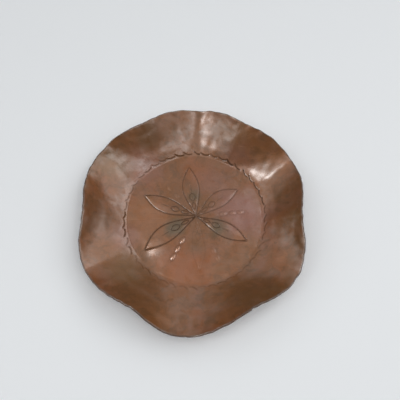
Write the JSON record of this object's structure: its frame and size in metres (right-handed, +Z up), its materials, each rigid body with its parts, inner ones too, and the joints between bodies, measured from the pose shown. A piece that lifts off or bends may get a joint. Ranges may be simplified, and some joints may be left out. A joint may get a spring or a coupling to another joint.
{
  "type": "copper bowl",
  "caption": "Shallow fluted bowl raised from a round copper sheet, its flat floor chased with a flower inside a wavy ring, for holding small things.",
  "frame": {"origin": "centre of the flat floor's underside, on the surface that the bowl stands on", "axes": "+Z up out of the bowl; +Y towards the flute that the flower's longest axis points at"},
  "size_m": [0.0914, 0.1, 0.0138],
  "materials": {
    "copper": "aged hammered copper with a brown patina, satin, brighter on the creases, raised dots and edge"
  },
  "bodies": {
    "root": {"bowl": "copper"}
  },
  "joints": []
}
